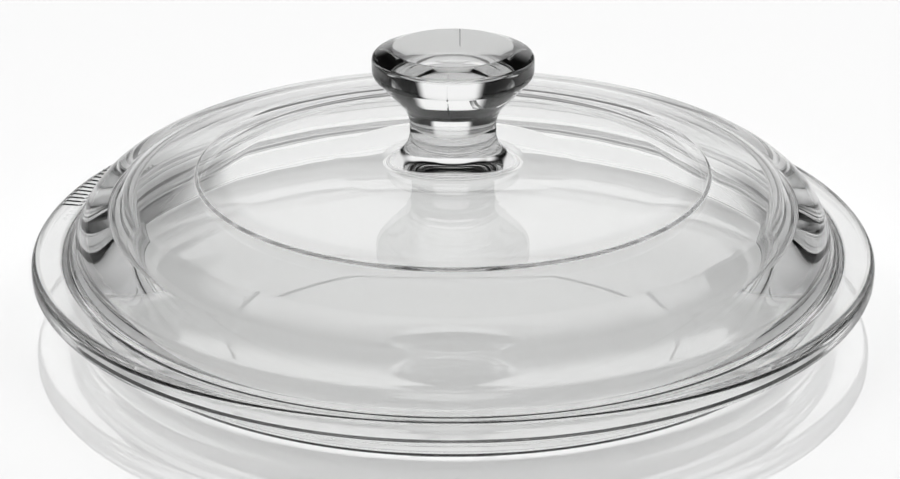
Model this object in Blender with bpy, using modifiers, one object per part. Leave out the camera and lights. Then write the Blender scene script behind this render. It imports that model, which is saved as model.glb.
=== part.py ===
"""Clear pressed-glass casserole lid with a solid knob, standing on its locating lip. Metres, +Z up."""

import math

import bpy

OBJECT_NAME = "casserole_lid"

# Rim, flange and lip
RIM_DIAMETER = 0.222        # across the flange
FLANGE_WIDTH = 0.0110       # from the foot of the dome wall to the rim
FLANGE_THICKNESS = 0.0065
RIM_ROUND = 0.0025
WALL_FOOT_FILLET = 0.0050
SEAT_WIDTH = 0.0110         # from the rim to the root of the lip, the face that rests on a dish
LIP_DEPTH = 0.0089          # how far the lip reaches down into a dish
LIP_DRAFT = 12.0            # degrees, the lip's outer face leans in towards its base
LIP_THICKNESS = 0.0047      # at its base
LIP_ROUND = 0.0015
LIP_ROOT_FILLET = 0.0035

# Dome and crown
GLASS_THICKNESS = 0.0048    # under the crown and at the upper end of the dome
DOME_WALL_SLOPE = 77.0      # degrees from level
DOME_SLOPE = 8.2            # degrees from level, from the shoulder up to the crown
SHOULDER_ROUND = 0.0150
INNER_WALL_DRAFT = 15.0     # degrees from upright, the hollow widens towards its mouth
INNER_DOME_SLOPE = 11.0     # degrees from level, so that the dome thickens towards its wall
INNER_SHOULDER_ROUND = 0.0070
CROWN_DIAMETER = 0.1326     # the low plateau in the middle of the dome
CROWN_HEIGHT = 0.0194       # its edge above the top of the flange
CROWN_SLOPE = 1.9           # degrees from level
CROWN_STEP_HEIGHT = 0.0007
CROWN_STEP_WIDTH = 0.0020
CROWN_STEP_ROUND = 0.0020
INNER_CROWN_ROUND = 0.0800
DIMPLE_DIAMETER = 0.0320    # the hollow pressed up into the underside below the knob
DIMPLE_TOP_DIAMETER = 0.0100
DIMPLE_DEPTH = 0.0034
DIMPLE_ROUND = 0.0140

# Knob
KNOB_DIAMETER = 0.0422
KNOB_HEIGHT = 0.0307        # above the crown
KNOB_BEVEL_WIDTH = 0.0054
KNOB_BEVEL_DROP = 0.0020
KNOB_BEVEL_ROUND = 0.0015
KNOB_BAND_HEIGHT = 0.0047   # the upright band that the fingers hold
KNOB_BAND_ROUND = 0.0028
KNOB_UNDERCUT_WIDTH = 0.0019
KNOB_UNDERCUT_DROP = 0.0022
KNOB_UNDERCUT_ROUND = 0.0012
KNOB_CONE_SLOPE = 47.0      # degrees from level
NECK_DIAMETER = 0.0227
NECK_ROUND = 0.0082
FLARE_ROUND = 0.0080        # where the neck spreads into the crown
MOUND_SLOPE = 2.5           # degrees from level, a shade steeper than the crown around it
MOUND_WIDTH = 0.0200        # from the neck out to the crown
MOUND_END_ROUND = 0.0500
KNOB_SEAT_HEIGHT = 0.0050   # of the plane between knob and lid body, above the crown
SEAT_CLEARANCE = 0.0003

# Fineness of the turned surfaces
LID_STEPS = 60
KNOB_STEPS = 40
ARC_STEP = 18.0             # degrees of turn for each short chord of a rounded corner
MERGE_DISTANCE = 0.00005

# Glass
GLASS_COLOUR = (0.93, 0.95, 0.94, 1.0)
GLASS_ROUGHNESS = 0.02
GLASS_INDEX = 1.47


def slope(degrees):
    """Fall for each unit outwards along a line that many degrees from level."""
    return math.tan(math.radians(degrees))


def meeting(point, fall, other_point, other_fall):
    """Corner where two lines of the half section meet, each given by a point and its fall outwards."""
    radius = (point[1] - other_point[1] + fall * point[0] - other_fall * other_point[0]) / (fall - other_fall)
    return radius, point[1] - fall * (radius - point[0])


def turn_between(before, corner, after):
    """Signed angle by which the outline turns at a corner."""
    arriving = math.atan2(corner[1] - before[1], corner[0] - before[0])
    leaving = math.atan2(after[1] - corner[1], after[0] - corner[0])
    return math.remainder(leaving - arriving, math.tau)


def rounded(corners):
    """Outline through (radius, height, round) corners. Rounds that crowd one edge shrink together."""
    places = [(radius, height) for radius, height, _ in corners]
    turns = [0.0]
    for before, corner, after in zip(places, places[1:], places[2:]):
        turns.append(turn_between(before, corner, after))
    turns.append(0.0)
    reaches = [size * math.tan(abs(turn) / 2) for (_, _, size), turn in zip(corners, turns)]

    shares = [1.0] * len(corners)
    for k in range(len(corners) - 1):
        wanted = reaches[k] + reaches[k + 1]
        fit = min(1.0, math.dist(places[k], places[k + 1]) / wanted) if wanted else 1.0
        shares[k] = min(shares[k], fit)
        shares[k + 1] = min(shares[k + 1], fit)

    outline = [places[0]]
    for k in range(1, len(corners) - 1):
        outline += corner_arc(places[k - 1], places[k], turns[k], corners[k][2] * shares[k])
    outline.append(places[-1])
    return outline


def corner_arc(before, corner, turn, size):
    """Points of the arc that rounds one corner."""
    reach = size * math.tan(abs(turn) / 2)
    heading = math.atan2(corner[1] - before[1], corner[0] - before[0])
    side = math.copysign(math.pi / 2, turn)
    start = (corner[0] - reach * math.cos(heading), corner[1] - reach * math.sin(heading))
    centre = (start[0] + size * math.cos(heading + side), start[1] + size * math.sin(heading + side))
    chords = max(1, round(abs(math.degrees(turn)) / ARC_STEP))
    points = []
    for k in range(chords + 1):
        angle = heading - side + turn * k / chords
        points.append((centre[0] + size * math.cos(angle), centre[1] + size * math.sin(angle)))
    return points


def knob_corners(crown_foot):
    """Outer corners of the knob, from the middle of its top down to the end of the mound on the crown."""
    top = crown_foot + KNOB_HEIGHT
    grip_radius = KNOB_DIAMETER / 2
    neck_radius = NECK_DIAMETER / 2
    band_top = top - KNOB_BEVEL_DROP
    band_foot = band_top - KNOB_BAND_HEIGHT
    cone_top = (grip_radius - KNOB_UNDERCUT_WIDTH, band_foot - KNOB_UNDERCUT_DROP)
    cone_foot = cone_top[1] - (cone_top[0] - neck_radius) * slope(KNOB_CONE_SLOPE)
    mound_end = (neck_radius + MOUND_WIDTH, crown_foot - MOUND_WIDTH * slope(CROWN_SLOPE))
    mound_top = mound_end[1] + MOUND_WIDTH * slope(MOUND_SLOPE)
    return [
        (0.0, top, 0.0),
        (grip_radius - KNOB_BEVEL_WIDTH, top, KNOB_BEVEL_ROUND),
        (grip_radius, band_top, KNOB_BEVEL_ROUND),
        (grip_radius, band_foot, KNOB_BAND_ROUND),
        (*cone_top, KNOB_UNDERCUT_ROUND),
        (neck_radius, cone_foot, NECK_ROUND),
        (neck_radius, mound_top, FLARE_ROUND),
        (*mound_end, MOUND_END_ROUND),
    ]


def lid_corners(crown_edge):
    """Corners of the lid from the crown's edge over dome and rim, under the lip and back to the axis."""
    rim_radius = RIM_DIAMETER / 2
    flange_top = LIP_DEPTH + FLANGE_THICKNESS
    step_foot = (crown_edge[0] + CROWN_STEP_WIDTH, crown_edge[1] - CROWN_STEP_HEIGHT)
    wall_foot = (rim_radius - FLANGE_WIDTH, flange_top)
    shoulder = meeting(step_foot, slope(DOME_SLOPE), wall_foot, slope(DOME_WALL_SLOPE))

    lip_root = rim_radius - SEAT_WIDTH
    lip_base = lip_root - LIP_DEPTH * slope(LIP_DRAFT)
    mouth = (lip_base - LIP_THICKNESS, 0.0)

    under_dome = (step_foot[0], step_foot[1] - GLASS_THICKNESS / math.cos(math.radians(DOME_SLOPE)))
    under_crown = (crown_edge[0], crown_edge[1] - GLASS_THICKNESS / math.cos(math.radians(CROWN_SLOPE)))
    inner_shoulder = meeting(under_dome, slope(INNER_DOME_SLOPE), mouth, slope(90.0 - INNER_WALL_DRAFT))
    inner_crown = meeting(under_crown, slope(CROWN_SLOPE), under_dome, slope(INNER_DOME_SLOPE))
    dimple_radius = DIMPLE_DIAMETER / 2
    dimple_foot = (dimple_radius, under_crown[1] + (under_crown[0] - dimple_radius) * slope(CROWN_SLOPE))
    dimple_top = (DIMPLE_TOP_DIAMETER / 2, dimple_foot[1] + DIMPLE_DEPTH)
    return [
        (*crown_edge, CROWN_STEP_ROUND),
        (*step_foot, CROWN_STEP_ROUND),
        (*shoulder, SHOULDER_ROUND),
        (*wall_foot, WALL_FOOT_FILLET),
        (rim_radius, flange_top, RIM_ROUND),
        (rim_radius, LIP_DEPTH, RIM_ROUND),
        (lip_root, LIP_DEPTH, LIP_ROOT_FILLET),
        (lip_base, 0.0, LIP_ROUND),
        (*mouth, LIP_ROUND),
        (*inner_shoulder, INNER_SHOULDER_ROUND),
        (*inner_crown, INNER_CROWN_ROUND),
        (*dimple_foot, DIMPLE_ROUND),
        (*dimple_top, DIMPLE_ROUND),
        (0.0, dimple_top[1], 0.0),
    ]


def first_below(outline, height):
    """Index of the first point under a height, and the radius at which the outline passes that height."""
    k = next(index for index, point in enumerate(outline) if point[1] < height)
    above, below = outline[k - 1], outline[k]
    share = (above[1] - height) / (above[1] - below[1])
    return k, above[0] + (below[0] - above[0]) * share


def part_above(outline, height):
    """Half section of what lies above a level plane, closed along it, with heights measured from it."""
    k, radius = first_below(outline, height)
    kept = [(place[0], place[1] - height) for place in outline[:k]]
    return kept + [(radius, 0.0), (0.0, 0.0)]


def part_below(outline, height):
    """Half section of what lies below a level plane, closed along the plane."""
    k, radius = first_below(outline, height)
    return [(0.0, height), (radius, height)] + outline[k:]


def clear_glass(name):
    """Colourless pressed glass."""
    material = bpy.data.materials.new(name)
    material.use_nodes = True
    shader = material.node_tree.nodes["Principled BSDF"]
    shader.inputs["Base Color"].default_value = GLASS_COLOUR
    shader.inputs["Roughness"].default_value = GLASS_ROUGHNESS
    shader.inputs["Metallic"].default_value = 0.0
    shader.inputs["IOR"].default_value = GLASS_INDEX
    shader.inputs["Transmission Weight"].default_value = 1.0
    return material


def turned(name, outline, steps, collection):
    """Solid of revolution about Z from a half section that starts and ends on the axis."""
    mesh = bpy.data.meshes.new(name)
    points = [(radius, 0.0, height) for radius, height in outline]
    edges = [(k, k + 1) for k in range(len(points) - 1)]
    mesh.from_pydata(points, edges, [])
    mesh.materials.append(clear_glass(name + "_glass"))
    solid = bpy.data.objects.new(name, mesh)
    collection.objects.link(solid)
    screw = solid.modifiers.new("turn", "SCREW")
    screw.axis = "Z"
    screw.steps = steps
    screw.render_steps = steps
    screw.use_merge_vertices = True
    screw.merge_threshold = MERGE_DISTANCE
    screw.use_smooth_shade = True
    return solid


def build():
    for old in list(bpy.data.objects):
        bpy.data.objects.remove(old, do_unlink=True)
    collection = bpy.data.collections.new(OBJECT_NAME)
    bpy.context.scene.collection.children.link(collection)

    crown_edge = (CROWN_DIAMETER / 2, LIP_DEPTH + FLANGE_THICKNESS + CROWN_HEIGHT)
    crown_foot = crown_edge[1] + (crown_edge[0] - NECK_DIAMETER / 2) * slope(CROWN_SLOPE)
    section = rounded(knob_corners(crown_foot) + lid_corners(crown_edge))
    seat = crown_foot + KNOB_SEAT_HEIGHT

    lid_body = turned("lid_body", part_below(section, seat), LID_STEPS, collection)
    knob = turned("knob", part_above(section, seat + SEAT_CLEARANCE), KNOB_STEPS, collection)
    knob.parent = lid_body
    knob.location = (0.0, 0.0, seat + SEAT_CLEARANCE)


build()
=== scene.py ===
# %% [markdown]
# # A pressed-glass casserole lid
#
# The object is the lid of a round baking dish: a shallow stepped dome of clear glass with a flat flange
# round it, a short lip underneath that drops into the dish, and a solid glass knob in the middle.
# Everything that the eye reads as "glass" here is bent light: dark edges, a bright crown, ripples at the
# shoulder. So this lesson spends its effort on the true thickness of the glass and on what surrounds it,
# and hardly any on paint.
#
# The first cell loads the measured parts. They stay where they are and fix the size of everything below.

# %% Load the measured parts
import math

import bmesh
import bpy
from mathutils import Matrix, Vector


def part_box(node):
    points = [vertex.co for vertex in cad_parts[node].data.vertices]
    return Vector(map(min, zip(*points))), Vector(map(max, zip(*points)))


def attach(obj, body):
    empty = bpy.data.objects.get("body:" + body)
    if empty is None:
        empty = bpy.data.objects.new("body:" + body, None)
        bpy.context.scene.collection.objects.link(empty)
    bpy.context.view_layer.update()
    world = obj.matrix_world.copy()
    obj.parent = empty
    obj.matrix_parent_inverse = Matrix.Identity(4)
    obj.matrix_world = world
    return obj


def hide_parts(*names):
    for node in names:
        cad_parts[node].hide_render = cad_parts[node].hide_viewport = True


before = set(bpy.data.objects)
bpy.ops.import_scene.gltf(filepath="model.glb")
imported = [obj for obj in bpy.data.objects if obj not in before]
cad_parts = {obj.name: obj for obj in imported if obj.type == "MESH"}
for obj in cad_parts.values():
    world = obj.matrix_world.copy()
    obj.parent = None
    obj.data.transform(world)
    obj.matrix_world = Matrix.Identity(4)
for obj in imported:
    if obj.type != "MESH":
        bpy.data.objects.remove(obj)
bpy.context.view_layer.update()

lid_low, lid_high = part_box("lid_body")
knob_low, knob_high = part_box("knob")
MM = 0.001
print("rim across:", round((lid_high.x - lid_low.x) / MM, 1), "mm")
print("top of knob:", round(knob_high.z / MM, 1), "mm")

# %% [markdown]
# ## The camera
#
# The rings of a turned object are ellipses in a picture, and their widths and heights fix the camera.
# Here the rim, the crown and the knob's edges agree on a long lens about two thirds of a metre away,
# looking down at 23 degrees. A longer lens further back would make the front of the rim look flatter than
# it does.

# %% Place the camera
PICTURE_WIDTH = 900
FOCAL_LENGTH_PIXELS = 2463
SENSOR_WIDTH = 36
CAMERA_PLACE = Vector((-0.0008, -0.6035, 0.2707))
CAMERA_DIP = math.radians(23.08)

camera_data = bpy.data.cameras.new("camera")
camera_data.sensor_width = SENSOR_WIDTH
camera_data.lens = SENSOR_WIDTH * FOCAL_LENGTH_PIXELS / PICTURE_WIDTH
camera_data.clip_start = 0.01
camera = bpy.data.objects.new("camera", camera_data)
camera.location = CAMERA_PLACE
camera.rotation_euler = (math.pi / 2 - CAMERA_DIP, 0, 0)
bpy.context.scene.collection.objects.link(camera)
bpy.context.scene.camera = camera
bpy.context.scene.view_settings.view_transform = "Standard"
print("lens:", round(camera_data.lens, 1), "mm")

# %% [markdown]
# ## How long light is followed
#
# A ray that enters the edge of a glass sheet can be thrown from wall to wall a dozen times before it gets
# out. Blender gives up on mirrored rays after four turns and draws black, which clear glass doesn't
# deserve. It also blurs glass for light that comes from matt surfaces, as if it were frosted, and that
# would put the table under the lid in a false shadow. Both limits are lifted here.

# %% Follow light through many turns
MOST_TURNS = 40

paths = bpy.context.scene.cycles
paths.max_bounces = MOST_TURNS
paths.glossy_bounces = MOST_TURNS
paths.transmission_bounces = MOST_TURNS
paths.transparent_max_bounces = MOST_TURNS
paths.blur_glossy = 0
print("light is followed for", MOST_TURNS, "turns")

# %% [markdown]
# ## Shader sums as plain Python
#
# A finish is easier to read as a sum than as a web of nodes. The class below wraps one output socket.
# Adding or multiplying two of them adds a Math node and gives back a new wrapped socket, and `add` makes
# any other node.

# %% A wrapper for shader sockets
class Flow:
    """One output socket of a node tree, which can be used in sums."""

    def __init__(self, tree, socket=None):
        self.tree = tree
        self.socket = socket

    def add(self, kind, settings=None, inputs=None, output=0):
        """A new node with its settings, then its sockets by name or number. Gives one output."""
        node = self.tree.nodes.new(kind)
        for name, value in (settings or {}).items():
            setattr(node, name, value)
        for name, value in (inputs or {}).items():
            if isinstance(value, Flow):
                self.tree.links.new(value.socket, node.inputs[name])
            else:
                node.inputs[name].default_value = value
        return Flow(self.tree, node.outputs[output] if node.outputs else None)

    def math(self, operation, *values):
        return self.add("ShaderNodeMath", {"operation": operation}, dict(enumerate(values)))

    def __add__(self, other):
        return self.math("ADD", self, other)

    def __radd__(self, other):
        return self.math("ADD", other, self)

    def __sub__(self, other):
        return self.math("SUBTRACT", self, other)

    def __rsub__(self, other):
        return self.math("SUBTRACT", other, self)

    def __mul__(self, other):
        return self.math("MULTIPLY", self, other)

    def __rmul__(self, other):
        return self.math("MULTIPLY", other, self)

    def __truediv__(self, other):
        return self.math("DIVIDE", self, other)

    def __rtruediv__(self, other):
        return self.math("DIVIDE", other, self)

    def __abs__(self):
        return self.math("ABSOLUTE", self)

    def larger(self, other):
        return self.math("MAXIMUM", self, other)

    def root(self):
        return self.math("SQRT", self)

    def rise(self, low, high):
        """0 below low, 1 above high, and a smooth step between."""
        settings = {"interpolation_type": "SMOOTHSTEP"}
        return self.add("ShaderNodeMapRange", settings, {"Value": self, "From Min": low, "From Max": high})

    def mix(self, share, colour, other):
        """The first colour where share is 0, the other where it is 1."""
        return self.add("ShaderNodeMix", {"data_type": "RGBA"}, {0: share, 6: colour, 7: other}, output=2)

    def part(self, letter):
        """One coordinate of a vector."""
        return self.add("ShaderNodeSeparateXYZ", inputs={0: self}, output=letter)


print("shader sums are ready")

# %% [markdown]
# ## The table
#
# The lid stands on a glossy white sheet, which is why its rim shows again below itself. A matt white
# under a strong clear coat does this: most of what is seen is the white, and about a quarter is mirrored.
# Where the sheet mirrors the backdrop it looks plain white, and where it mirrors the lid it is grey.
# Light Path gives the sheet two colours: one where the camera sees it plainly, and a greyer one for every
# other ray, also through the glass. A real sheet has only one. The second is set to bring the glass down
# to the photo's greys.

# %% The table
FLOOR_SIZE = 6.0
FLOOR_GAP = 0.0001
FLOOR_WHITE = 0.95
FLOOR_BEHIND_GLASS = 0.78
FLOOR_COAT_IOR = 2.8

bpy.ops.object.select_all(action="DESELECT")
bpy.ops.mesh.primitive_plane_add(size=FLOOR_SIZE, location=(0, 0, -FLOOR_GAP))
floor = bpy.context.object
floor.name = "table"
acrylic = bpy.data.materials.new("white_acrylic")
acrylic.use_nodes = True
acrylic_shader = acrylic.node_tree.nodes["Principled BSDF"]
sheet = Flow(acrylic.node_tree)
seen_plainly = sheet.add("ShaderNodeLightPath", output="Is Camera Ray")
white = seen_plainly * (FLOOR_WHITE - FLOOR_BEHIND_GLASS) + FLOOR_BEHIND_GLASS
sheet_colour = sheet.add("ShaderNodeCombineColor", inputs={0: white, 1: white, 2: white})
acrylic.node_tree.links.new(sheet_colour.socket, acrylic_shader.inputs["Base Color"])
acrylic_shader.inputs["Roughness"].default_value = 0.6
acrylic_shader.inputs["Coat Weight"].default_value = 1.0
acrylic_shader.inputs["Coat Roughness"].default_value = 0.0
acrylic_shader.inputs["Coat IOR"].default_value = FLOOR_COAT_IOR
floor.data.materials.append(acrylic)
print("table:", FLOOR_SIZE, "m across")

# %% [markdown]
# ## The light
#
# Clear glass is lit by its surroundings. A white backdrop behind it fills the glass with white, and the
# dim room over it, at both sides and behind the camera draws its edges dark. Matt surfaces are lit by a
# wide soft light from above and behind, so the shadow of the lid falls towards the camera. The camera
# itself sees white beyond the table.

# %% The light
ROOM_LEVEL = 0.003
BACKDROP_LEVEL = 1.0
BACKDROP_LEFT = 0.25
BACKDROP_RIGHT = 0.32
BACKDROP_EDGE = 0.06
BACKDROP_TOP = 0.62
BACKDROP_TOP_EDGE = 0.1
SOFT_LEVEL = 2.7
SOFT_TILT = math.radians(55)
SOFT_EDGE = (0.2, 0.9)

world = bpy.data.worlds.new("studio")
bpy.context.scene.world = world
world.use_nodes = True
world.node_tree.nodes.clear()
sky = Flow(world.node_tree)
direction = sky.add("ShaderNodeTexCoord", output="Generated")
across = direction.part("X")
away = direction.part("Y")
upward = direction.part("Z")
away_or_more = away.larger(0.001)
past_left = (across / away_or_more * -1).rise(BACKDROP_LEFT - BACKDROP_EDGE, BACKDROP_LEFT + BACKDROP_EDGE)
past_right = (across / away_or_more).rise(BACKDROP_RIGHT - BACKDROP_EDGE, BACKDROP_RIGHT + BACKDROP_EDGE)
over_top = (upward / away_or_more).rise(BACKDROP_TOP - BACKDROP_TOP_EDGE, BACKDROP_TOP + BACKDROP_TOP_EDGE)
backdrop = (1 - past_left.larger(past_right)) * (1 - over_top) * away.rise(0, 0.05)
seen_in_glass = (backdrop * BACKDROP_LEVEL).larger(ROOM_LEVEL)
towards_soft = upward * math.cos(SOFT_TILT) + away * math.sin(SOFT_TILT)
seen_by_matt = towards_soft.rise(*SOFT_EDGE) * SOFT_LEVEL
on_matt = sky.add("ShaderNodeLightPath", output="Diffuse Depth").rise(0.25, 0.75)
level = on_matt * seen_by_matt + (1 - on_matt) * seen_in_glass
seen_directly = sky.add("ShaderNodeLightPath", output="Is Camera Ray")
strength = seen_directly + (1 - seen_directly) * level
glow = sky.add("ShaderNodeBackground", inputs={"Color": (1, 1, 1, 1), "Strength": strength})
sky.add("ShaderNodeOutputWorld", inputs={"Surface": glow})
print("studio light: backdrop", BACKDROP_LEVEL, "soft light", SOFT_LEVEL, "room", ROOM_LEVEL)

# %% [markdown]
# ## The outline of the pressing
#
# The lid and its knob come out of one mould as one piece of glass, so they are modelled as one turned
# shape and parted afterwards. The outline is a list of corners of the half section, each with the radius
# of its rounding. Most corners are where two straight lines meet, so the sizes below are heights, widths
# and slopes. Under the knob a shallow dimple is assumed, because the foot of the knob shows a flat dark
# lens that a level underside doesn't give.

# %% Sizes of the half section, in millimetres and degrees
RIM_RADIUS = lid_high.x / MM
FLANGE_WIDTH = 11.0
FLANGE_THICKNESS = 6.5
RIM_ROUND = 2.5
WALL_FOOT_FILLET = 5.0
SEAT_WIDTH = 11.0
LIP_DEPTH = 8.9
LIP_DRAFT = 12.0
LIP_THICKNESS = 4.7
LIP_ROUND = 1.5
LIP_ROOT_FILLET = 3.5
GLASS_THICKNESS = 4.8
DOME_WALL_SLOPE = 77.0
INNER_WALL_DRAFT = 15.0
DOME_SLOPE = 8.2
INNER_SLOPE = 11.0
SHOULDER_ROUND = 15.0
INNER_SHOULDER_ROUND = 7.0
CROWN_RADIUS = 66.9
CROWN_HEIGHT = 19.4
CROWN_SLOPE = 1.9
CROWN_STEP_HEIGHT = 0.8
CROWN_STEP_WIDTH = 0.8
CROWN_STEP_ROUND = 0.5
INNER_CROWN_ROUND = 80.0
DIMPLE_RADIUS = 16.0
DIMPLE_TOP = 5.0
DIMPLE_DEPTH = 3.4
DIMPLE_ROUND = 14.0
DIMPLE_MIDDLE = 0.5
KNOB_RADIUS = 21.1
KNOB_BEVEL_WIDTH = 5.4
KNOB_BEVEL_DROP = 2.0
KNOB_BEVEL_ROUND = 1.5
KNOB_BAND_HEIGHT = 4.7
KNOB_BAND_ROUND = 2.8
KNOB_UNDERCUT_WIDTH = 1.9
KNOB_UNDERCUT_DROP = 2.2
KNOB_UNDERCUT_ROUND = 1.2
KNOB_CONE_SLOPE = 47.0
NECK_RADIUS = 11.35
NECK_ROUND = 8.2
FLARE_SLOPE = 2.5
FLARE_ROUND = 8.0
FLARE_WIDTH = 20.0
FLARE_END_ROUND = 50.0


def fall(degrees):
    """How far a line drops for each step outwards, when it leans that many degrees from level."""
    return math.tan(math.radians(degrees))


def meeting(point, drop, other_point, other_drop):
    """The corner where two lines meet, each given by a point and its drop for each step outwards."""
    height_on_axis = point[1] + drop * point[0]
    other_on_axis = other_point[1] + other_drop * other_point[0]
    radius = (height_on_axis - other_on_axis) / (drop - other_drop)
    return radius, point[1] - drop * (radius - point[0])


KNOB_TOP = knob_high.z / MM
FLANGE_TOP = LIP_DEPTH + FLANGE_THICKNESS
band_top = KNOB_TOP - KNOB_BEVEL_DROP
band_foot = band_top - KNOB_BAND_HEIGHT
cone_top = (KNOB_RADIUS - KNOB_UNDERCUT_WIDTH, band_foot - KNOB_UNDERCUT_DROP)
cone_foot = cone_top[1] - (cone_top[0] - NECK_RADIUS) * fall(KNOB_CONE_SLOPE)
crown_edge = (CROWN_RADIUS, FLANGE_TOP + CROWN_HEIGHT)
flare_end_radius = NECK_RADIUS + FLARE_WIDTH
flare_end = (flare_end_radius, crown_edge[1] + (CROWN_RADIUS - flare_end_radius) * fall(CROWN_SLOPE))
flare_top = flare_end[1] + FLARE_WIDTH * fall(FLARE_SLOPE)
step_foot = (CROWN_RADIUS + CROWN_STEP_WIDTH, crown_edge[1] - CROWN_STEP_HEIGHT)
wall_foot = (RIM_RADIUS - FLANGE_WIDTH, FLANGE_TOP)
shoulder = meeting(step_foot, fall(DOME_SLOPE), wall_foot, fall(DOME_WALL_SLOPE))
lip_root = RIM_RADIUS - SEAT_WIDTH
lip_base = lip_root - LIP_DEPTH * fall(LIP_DRAFT)
mouth = (lip_base - LIP_THICKNESS, 0.0)
under_dome = (step_foot[0], step_foot[1] - GLASS_THICKNESS / math.cos(math.radians(DOME_SLOPE)))
under_crown = (crown_edge[0], crown_edge[1] - GLASS_THICKNESS / math.cos(math.radians(CROWN_SLOPE)))
inner_shoulder = meeting(under_dome, fall(INNER_SLOPE), mouth, fall(90 - INNER_WALL_DRAFT))
inner_crown = meeting(under_crown, fall(CROWN_SLOPE), under_dome, fall(INNER_SLOPE))
dimple_foot = (DIMPLE_RADIUS, under_crown[1] + (under_crown[0] - DIMPLE_RADIUS) * fall(CROWN_SLOPE))
dimple_top = (DIMPLE_TOP, dimple_foot[1] + DIMPLE_DEPTH)

CORNERS = [
    ("knob top", KNOB_RADIUS - KNOB_BEVEL_WIDTH, KNOB_TOP, KNOB_BEVEL_ROUND),
    ("knob bevel", KNOB_RADIUS, band_top, KNOB_BEVEL_ROUND),
    ("knob band", KNOB_RADIUS, band_foot, KNOB_BAND_ROUND),
    ("cone top", *cone_top, KNOB_UNDERCUT_ROUND),
    ("neck", NECK_RADIUS, cone_foot, NECK_ROUND),
    ("flare", NECK_RADIUS, flare_top, FLARE_ROUND),
    ("flare end", *flare_end, FLARE_END_ROUND),
    ("crown edge", *crown_edge, CROWN_STEP_ROUND),
    ("step foot", *step_foot, CROWN_STEP_ROUND),
    ("shoulder", *shoulder, SHOULDER_ROUND),
    ("wall foot", *wall_foot, WALL_FOOT_FILLET),
    ("rim top", RIM_RADIUS, FLANGE_TOP, RIM_ROUND),
    ("rim foot", RIM_RADIUS, LIP_DEPTH, RIM_ROUND),
    ("lip root", lip_root, LIP_DEPTH, LIP_ROOT_FILLET),
    ("lip base", lip_base, 0.0, LIP_ROUND),
    ("mouth", *mouth, LIP_ROUND),
    ("inner shoulder", *inner_shoulder, INNER_SHOULDER_ROUND),
    ("inner crown", *inner_crown, INNER_CROWN_ROUND),
    ("dimple foot", *dimple_foot, DIMPLE_ROUND),
    ("dimple top", *dimple_top, DIMPLE_ROUND),
    ("dimple middle", DIMPLE_MIDDLE, dimple_top[1], 0),
]
for name, radius, height, rounding in CORNERS:
    print(name, round(radius, 2), round(height, 2), "round", rounding)

# %% [markdown]
# ## Turning it
#
# A circle is the first corner. Each further corner is the last ring extruded, moved to its height and
# scaled to its radius, as one would do by hand. A filled ring closes both middles.

# %% Extrude the rings
SIDES = 512


def start_ring(name, radius, height):
    bpy.ops.object.select_all(action="DESELECT")
    bpy.ops.mesh.primitive_circle_add(
        vertices=SIDES, radius=radius, fill_type="NOTHING", location=(0, 0, height))
    piece = bpy.context.object
    piece.name = name
    piece.data.name = name
    bpy.ops.object.transform_apply(location=True, rotation=True, scale=True)
    bpy.ops.object.mode_set(mode="EDIT")
    bpy.ops.mesh.select_all(action="SELECT")
    return piece


def next_ring(before, corner):
    grow = corner[1] / before[1]
    rise = (corner[2] - before[2]) * MM
    bpy.ops.mesh.extrude_region_move(TRANSFORM_OT_translate={"value": (0, 0, rise)})
    bpy.ops.transform.resize(value=(grow, grow, 1))


glass = start_ring("lid_glass", CORNERS[0][1] * MM, CORNERS[0][2] * MM)
for before, corner in zip(CORNERS, CORNERS[1:]):
    next_ring(before, corner)
print("rings:", len(CORNERS))

# %% Close both middles and round the corners
RING_TOLERANCE = 0.00002
FACET_TURN = math.radians(5)


def select_ring(piece, radius, height):
    """Selects the edges of one ring by where they are."""
    mesh = bmesh.from_edit_mesh(piece.data)
    bpy.ops.mesh.select_all(action="DESELECT")
    bpy.context.tool_settings.mesh_select_mode = (False, True, False)
    picked = 0
    for edge in mesh.edges:
        edge.select = all(
            abs(point.co.z - height) < RING_TOLERANCE and abs(point.co.xy.length - radius) < RING_TOLERANCE
            for point in edge.verts)
        picked += edge.select
    mesh.select_flush_mode()
    bmesh.update_edit_mesh(piece.data)
    return picked


def turn_at(before, corner, after):
    arriving = math.atan2(corner[2] - before[2], corner[1] - before[1])
    leaving = math.atan2(after[2] - corner[2], after[1] - corner[1])
    return abs(math.remainder(leaving - arriving, math.tau))


for end in (CORNERS[0], CORNERS[-1]):
    select_ring(glass, end[1] * MM, end[2] * MM)
    bpy.ops.mesh.edge_face_add()

axis_top = ("axis", 0.0, CORNERS[0][2], 0)
last_reach = 0
for before, corner, after in zip([axis_top] + CORNERS, CORNERS, CORNERS[1:]):
    name, radius, height, rounding = corner
    turn = turn_at(before, corner, after)
    reach = rounding * math.tan(turn / 2)
    spare = math.dist(before[1:3], corner[1:3]) - reach - last_reach
    last_reach = reach
    found = select_ring(glass, radius * MM, height * MM)
    facets = max(2, math.ceil(turn / FACET_TURN))
    bpy.ops.mesh.bevel(offset=reach * MM, segments=facets, profile=0.5, affect="EDGES", clamp_overlap=False)
    print("rounded", name, "edges", found, "facets", facets, "straight before it", round(spare, 2), "mm")

bpy.ops.mesh.select_all(action="SELECT")
bpy.ops.mesh.remove_doubles(threshold=0.000001)
bpy.ops.mesh.normals_make_consistent(inside=False)
bpy.ops.object.mode_set(mode="OBJECT")
print("pressing:", len(glass.data.polygons), "faces")

# %% [markdown]
# ## Parting the knob
#
# The measured parts keep the knob apart from the lid body at a level plane through its foot. Bisect draws
# a ring there, and everything above it becomes a piece of its own.

# %% Part the knob from the lid
SEAT = lid_high.z

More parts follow.
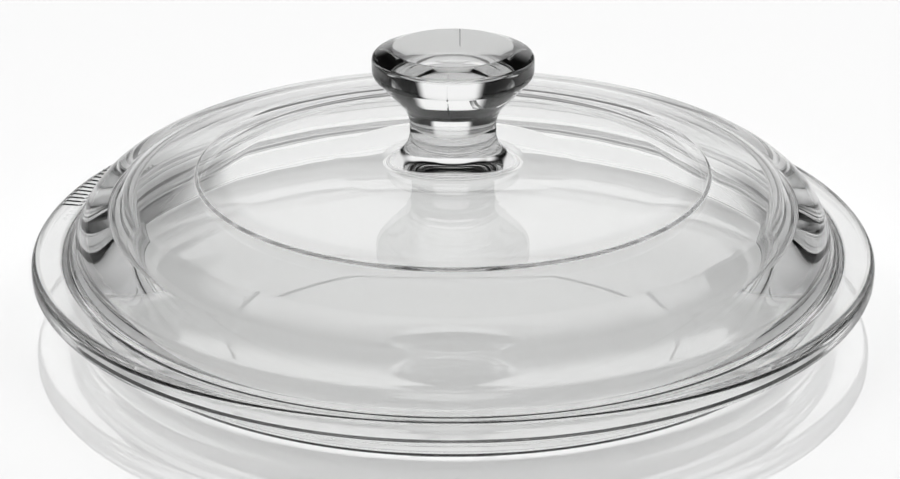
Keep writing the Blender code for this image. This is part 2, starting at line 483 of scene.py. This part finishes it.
bpy.ops.object.mode_set(mode="EDIT")
bpy.ops.mesh.select_all(action="SELECT")
bpy.ops.mesh.bisect(plane_co=(0, 0, SEAT), plane_no=(0, 0, 1))
mesh = bmesh.from_edit_mesh(glass.data)
bpy.ops.mesh.select_all(action="DESELECT")
bpy.context.tool_settings.mesh_select_mode = (False, False, True)
for face in mesh.faces:
    face.select = face.calc_center_median().z > SEAT
bmesh.update_edit_mesh(glass.data)
bpy.ops.mesh.separate(type="SELECTED")
bpy.ops.object.mode_set(mode="OBJECT")
knob_glass = next(piece for piece in bpy.context.selected_objects if piece is not glass)
knob_glass.name = "knob_glass"
knob_glass.data.name = "knob_glass"
print("knob:", len(knob_glass.data.polygons), "faces, lid:", len(glass.data.polygons), "faces")

# %% [markdown]
# ## Marks of the mould
#
# The knob is pressed in a mould of two halves, and a thin ridge of glass marks where they close, at the
# front and at the back. One column of points, moved out a little, makes it. The edge of the knob also has
# a shallow nick at its right, made by moving a few points inwards with a soft fall-off.

# %% The mould seam and the nick
SEAMS = {"front": (-94.2, SEAT / MM + 0.5), "back": (85.8, band_foot)}
SEAM_HALF_WIDTH = 0.3
SEAM_HEIGHT = 0.25
NICK_AZIMUTH = -8.0
NICK_HEIGHT = 63.5
NICK_DEPTH = 0.25
NICK_REACH = 1.0


def pick_points(piece, wanted):
    """Selects the points for which wanted(azimuth, radius, height) holds, in degrees and millimetres."""
    mesh = bmesh.from_edit_mesh(piece.data)
    bpy.context.tool_settings.mesh_select_mode = (True, False, False)
    bpy.ops.mesh.select_all(action="DESELECT")
    picked = 0
    for point in mesh.verts:
        azimuth = math.degrees(math.atan2(point.co.y, point.co.x))
        point.select = bool(wanted(azimuth, point.co.xy.length / MM, point.co.z / MM))
        picked += point.select
    mesh.select_flush_mode()
    bmesh.update_edit_mesh(piece.data)
    return picked


def apart(azimuth, other):
    """The angle between two azimuths."""
    return abs(math.remainder(azimuth - other, 360))


def open_for_edit(piece):
    bpy.ops.object.select_all(action="DESELECT")
    bpy.context.view_layer.objects.active = piece
    piece.select_set(True)
    bpy.ops.object.mode_set(mode="EDIT")


open_for_edit(knob_glass)
for side, (seam, foot) in SEAMS.items():
    on_seam = pick_points(
        knob_glass,
        lambda azimuth, radius, height: apart(azimuth, seam) < SEAM_HALF_WIDTH and height > foot)
    swell = 1 + SEAM_HEIGHT / KNOB_RADIUS
    bpy.ops.transform.resize(value=(swell, swell, 1), center_override=(0, 0, 0))
    print(side, "seam:", on_seam, "points")

nicked = pick_points(
    knob_glass, lambda azimuth, radius, height: apart(azimuth, NICK_AZIMUTH) < 360 / SIDES and
    abs(height - NICK_HEIGHT) < 0.6 and radius > KNOB_RADIUS - 1)
inward = math.radians(NICK_AZIMUTH)
bpy.ops.transform.translate(
    value=(-NICK_DEPTH * MM * math.cos(inward), -NICK_DEPTH * MM * math.sin(inward), 0),
    use_proportional_edit=True, proportional_edit_falloff="SMOOTH", proportional_size=NICK_REACH * MM)
print("nick:", nicked, "points and their neighbours")
bpy.ops.object.mode_set(mode="OBJECT")

# %% [markdown]
# ## Raised marks on the flange
#
# Pressed lids carry raised marks on the flange, cut into the mould with a small chisel. Here they are a
# plain row of short ticks at the left rear. Faces of the flat flange are inset one by one and lifted by a
# fraction of a millimetre, so that they stay part of the same closed glass.

# %% Raise the ticks
TICKS_START = 150.0
TICKS_END = 170.0
TICK_INSET = 0.3
TICK_HEIGHT = 0.3

open_for_edit(glass)
flange = bmesh.from_edit_mesh(glass.data)
bpy.context.tool_settings.mesh_select_mode = (False, False, True)
bpy.ops.mesh.select_all(action="DESELECT")
ticks = 0
for face in flange.faces:
    middle = face.calc_center_median()
    azimuth = math.degrees(math.atan2(middle.y, middle.x))
    place = round((azimuth - 90) * SIDES / 360 - 0.5)
    level = abs(middle.z / MM - FLANGE_TOP) < 0.05 and face.normal.z > 0.99
    face.select = level and TICKS_START < azimuth < TICKS_END and place % 2 == 0
    ticks += face.select
bmesh.update_edit_mesh(glass.data)
bpy.ops.mesh.inset(thickness=TICK_INSET * MM, depth=0, use_individual=True)
bpy.ops.transform.translate(value=(0, 0, TICK_HEIGHT * MM))
bpy.ops.object.mode_set(mode="OBJECT")
print("ticks:", ticks)

# %% [markdown]
# ## Clear glass
#
# The glass is colourless and fire polished. Pressing leaves it very slightly wavy, which is what makes
# the dark lines in it wander, and use leaves small scuffs and a few seeds, tiny bubbles with a dark edge.
# All three come from noise at the place of each point. The step round the crown is a little matt, and its
# grey is painted shade, which makes an even grey line. A fine dark line of painted shade is drawn on the
# knob's top, taken for the mark of the shears. The face where knob and lid body meet is no surface at all
# on the real lid, so it lets everything through.

# %% The glass and the fused joint
GLASS_COLOUR = (0.95, 0.953, 0.95, 1)
WAVE_SCALE = 60.0
WAVE_DEPTH = 0.00002
RUB_SCALE = 300.0
RUB_START = 0.72
RUB_ROUGHNESS = 0.10
SEED_SCALE = 90.0
SEED_SIZE = 0.05
SEED_SHARE = 0.9
SEED_COLOUR = (0.35, 0.35, 0.35, 1)
# The step's grey colour is painted shade, standing in for the even grey line that the step makes in clear
# glass.
STEP_ROUGHNESS = 0.12
STEP_SHADE_COLOUR = (0.72, 0.72, 0.72, 1)
# The shear line's dark colour is painted shade, standing in for the shading of a fine shear mark on the
# knob's top.
SHEAR_ACROSS = 0.0018
SHEAR_HALF_WIDTH = 0.00018
SHEAR_SHADE_COLOUR = (0.08, 0.08, 0.08, 1)

clear = bpy.data.materials.new("pressed_glass")
clear.use_nodes = True
clear_shader = clear.node_tree.nodes["Principled BSDF"]
finish = Flow(clear.node_tree)
place = finish.add("ShaderNodeTexCoord", output="Object")
wave_inputs = {"Vector": place, "Scale": WAVE_SCALE, "Detail": 1.0}
waves = finish.add("ShaderNodeTexNoise", inputs=wave_inputs, output="Fac")
bent = finish.add("ShaderNodeBump", inputs={"Strength": 1.0, "Distance": WAVE_DEPTH, "Height": waves})
clear.node_tree.links.new(bent.socket, clear_shader.inputs["Normal"])
rub_inputs = {"Vector": place, "Scale": RUB_SCALE, "Detail": 3.0}
rubbed = finish.add("ShaderNodeTexNoise", inputs=rub_inputs, output="Fac")
height = place.part("Z")
from_axis = (place.part("X") * place.part("X") + place.part("Y") * place.part("Y")).root()
step_half = CROWN_STEP_WIDTH * MM / 2
from_step = abs(from_axis - CROWN_RADIUS * MM - step_half)
on_crown = height.rise(crown_edge[1] * MM - 0.002, crown_edge[1] * MM - 0.001)
on_step = (1 - from_step.rise(step_half * 0.9, step_half * 1.3)) * on_crown
rough = (rubbed.rise(RUB_START, 1.0) * RUB_ROUGHNESS).larger(on_step * STEP_ROUGHNESS)
clear.node_tree.links.new(rough.socket, clear_shader.inputs["Roughness"])
seed_inputs = {"Vector": place, "Scale": SEED_SCALE, "Randomness": 1.0}
from_seed = finish.add("ShaderNodeTexVoronoi", inputs=seed_inputs, output="Distance")
seed_pick = finish.add("ShaderNodeTexVoronoi", inputs=seed_inputs, output="Color").part("X")
seeds = (1 - from_seed.rise(SEED_SIZE * 0.5, SEED_SIZE)) * seed_pick.rise(SEED_SHARE - 0.01, SEED_SHARE)
tint = finish.mix(seeds, GLASS_COLOUR, SEED_COLOUR)
# Painted shade: the step round the crown is coloured grey.
with_step_shade = finish.mix(on_step, tint, STEP_SHADE_COLOUR)
# Painted shade: a fine dark line on the knob's top, where the shear mark is taken to be.
on_top = height.rise(knob_high.z - 0.0002, knob_high.z - 0.0001)
beside_line = abs(place.part("X") - SHEAR_ACROSS).rise(SHEAR_HALF_WIDTH * 0.5, SHEAR_HALF_WIDTH)
shear_shade = (1 - beside_line) * on_top * place.part("Y").rise(0, 0.002)
with_shear_shade = finish.mix(shear_shade, with_step_shade, SHEAR_SHADE_COLOUR)
clear.node_tree.links.new(with_shear_shade.socket, clear_shader.inputs["Base Color"])
clear_shader.inputs["IOR"].default_value = 1.47
clear_shader.inputs["Transmission Weight"].default_value = 1.0

fused = bpy.data.materials.new("fused_joint")
fused.use_nodes = True
fused.node_tree.nodes["Principled BSDF"].inputs["Alpha"].default_value = 0.0


def finish_piece(piece):
    """Closes the cut, gives the cut face the pass-through finish and smooths the rest."""
    bpy.ops.object.select_all(action="DESELECT")
    bpy.context.view_layer.objects.active = piece
    piece.select_set(True)
    piece.data.materials.clear()
    piece.data.materials.append(clear)
    piece.data.materials.append(fused)
    bpy.ops.object.mode_set(mode="EDIT")
    bpy.ops.mesh.select_all(action="DESELECT")
    bpy.context.tool_settings.mesh_select_mode = (False, True, False)
    bpy.ops.mesh.select_non_manifold(
        extend=False, use_wire=False, use_multi_face=False, use_non_contiguous=False, use_verts=False)
    bpy.ops.mesh.edge_face_add()
    piece.active_material_index = 1
    bpy.ops.object.material_slot_assign()
    bpy.ops.mesh.select_all(action="SELECT")
    bpy.ops.mesh.normals_make_consistent(inside=False)
    bpy.ops.object.mode_set(mode="OBJECT")
    bpy.ops.object.shade_smooth_by_angle(angle=math.radians(30))
    bpy.ops.object.modifier_add(type="WEIGHTED_NORMAL")
    piece.modifiers[-1].keep_sharp = True
    bpy.ops.object.modifier_apply(modifier=piece.modifiers[-1].name)
    counts = [sum(1 for face in piece.data.polygons if face.material_index == k) for k in (0, 1)]
    print(piece.name, "faces by finish:", counts)


for piece, node, slot in ((glass, "lid_body", "lid_glass"), (knob_glass, "knob", "knob_glass")):
    finish_piece(piece)
    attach(piece, "root")
    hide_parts(node)
